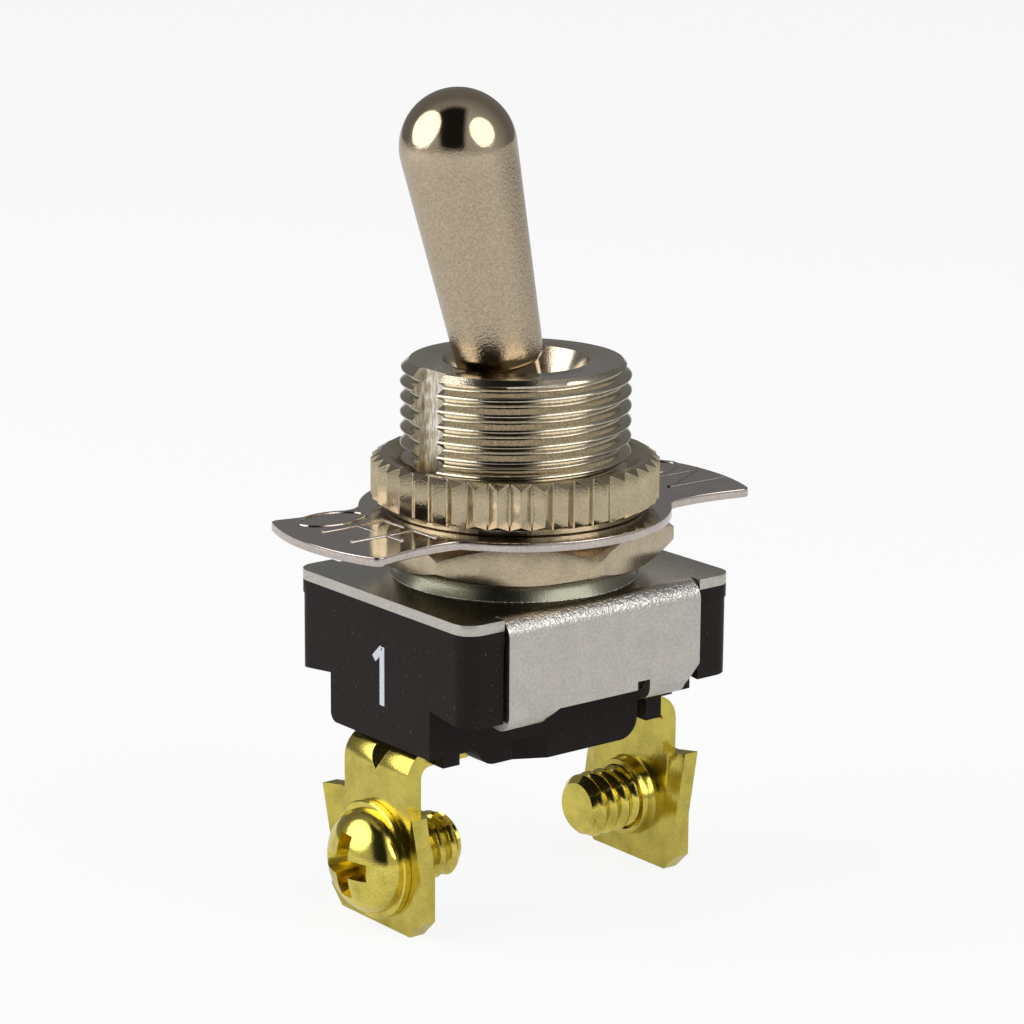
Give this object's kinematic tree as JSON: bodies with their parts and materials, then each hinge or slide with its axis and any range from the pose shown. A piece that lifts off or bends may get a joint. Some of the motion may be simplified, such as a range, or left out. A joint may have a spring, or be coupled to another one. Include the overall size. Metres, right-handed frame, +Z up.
{
  "type": "panel toggle switch",
  "caption": "Panel-mount toggle switch with a bat lever on a threaded bushing, a folded frame over a moulded base, and screw terminals at both ends.",
  "frame": {"origin": "on the axis of the threaded bushing, level with the top face of the steel frame", "axes": "+Z up the bushing, towards the lever; -X the OFF end, where the lever leans at rest; +X the ON end"},
  "size_m": [0.0262, 0.0164, 0.0426],
  "materials": {
    "nickel_thread": "nickel-plated turned brass, polished",
    "nickel_lever": "nickel-plated brass, bright",
    "nickel_nut": "nickel-plated brass, satin",
    "nickel_knurl": "nickel-plated brass, bright knurl",
    "nickel_plate": "nickel-plated sheet, polished",
    "zinc_sheet": "zinc-plated sheet, mottled satin",
    "hard_steel": "bare steel",
    "phenolic": "compression-moulded, dull with fine flecks",
    "fibre": "vulcanised fibre sheet",
    "brass_strip": "bare brass strip, bright",
    "brass_screw": "bare turned brass",
    "brass_inner": "bare brass, dull",
    "silver_contact": "silver, dull"
  },
  "bodies": {
    "body": {"bushing": "nickel_thread", "frame": "zinc_sheet", "base": "phenolic", "insulator": "fibre", "cradle": "brass_inner", "cradle_rivet": "brass_inner", "fixed_contact": "silver_contact", "terminal_off": "brass_strip", "terminal_on": "brass_strip", "indicator_plate": "nickel_plate"},
    "toggle_lever": {"lever": "nickel_lever", "pivot_pin": "hard_steel", "contact_spring": "hard_steel"},
    "spring_plunger": {"plunger": "hard_steel"},
    "rocking_contact": {"rocker": "brass_inner", "moving_contact": "silver_contact"},
    "ring_nut": {"knurled_nut": "nickel_knurl"},
    "back_nut": {"hex_nut": "nickel_nut"},
    "screw_off": {"terminal_screw_off": "brass_screw"},
    "screw_on": {"terminal_screw_on": "brass_screw"}
  },
  "joints": [
    {"name": "lever_toggle", "type": "hinge", "parent": "body", "child": "toggle_lever", "pos_m": [0, 0, 0.007], "axis": [0, 1, 0], "range_deg": [0, 27.6]},
    {"name": "rocker_tilt", "type": "hinge", "parent": "body", "child": "rocking_contact", "pos_m": [0, 0, -0.0046], "axis": [0, 1, 0], "range_deg": [-16, 0]},
    {"name": "plunger_slide", "type": "slide", "parent": "toggle_lever", "child": "spring_plunger", "axis": [-0.2385, 0, 0.9711], "range_m": [0, 0.0005], "stiffness_N_per_m": 500, "springref_m": -0.001, "deforming": ["contact_spring"]},
    {"name": "ring_nut_turn", "type": "hinge", "parent": "body", "child": "ring_nut", "pos_m": [0, 0, 0.005], "axis": [0, 0, 1], "continuous": true},
    {"name": "back_nut_turn", "type": "hinge", "parent": "body", "child": "back_nut", "pos_m": [0, 0, 0.002], "axis": [0, 0, 1], "continuous": true},
    {"name": "screw_off_turn", "type": "hinge", "parent": "body", "child": "screw_off", "pos_m": [-0.009, 0, -0.0139], "axis": [1, 0, 0], "continuous": true},
    {"name": "screw_on_turn", "type": "hinge", "parent": "body", "child": "screw_on", "pos_m": [0.009, 0, -0.0139], "axis": [1, 0, 0], "continuous": true}
  ],
  "couplings": [
    {"joint": "rocker_tilt", "follows": "lever_toggle", "ratio": -0.5795}
  ]
}
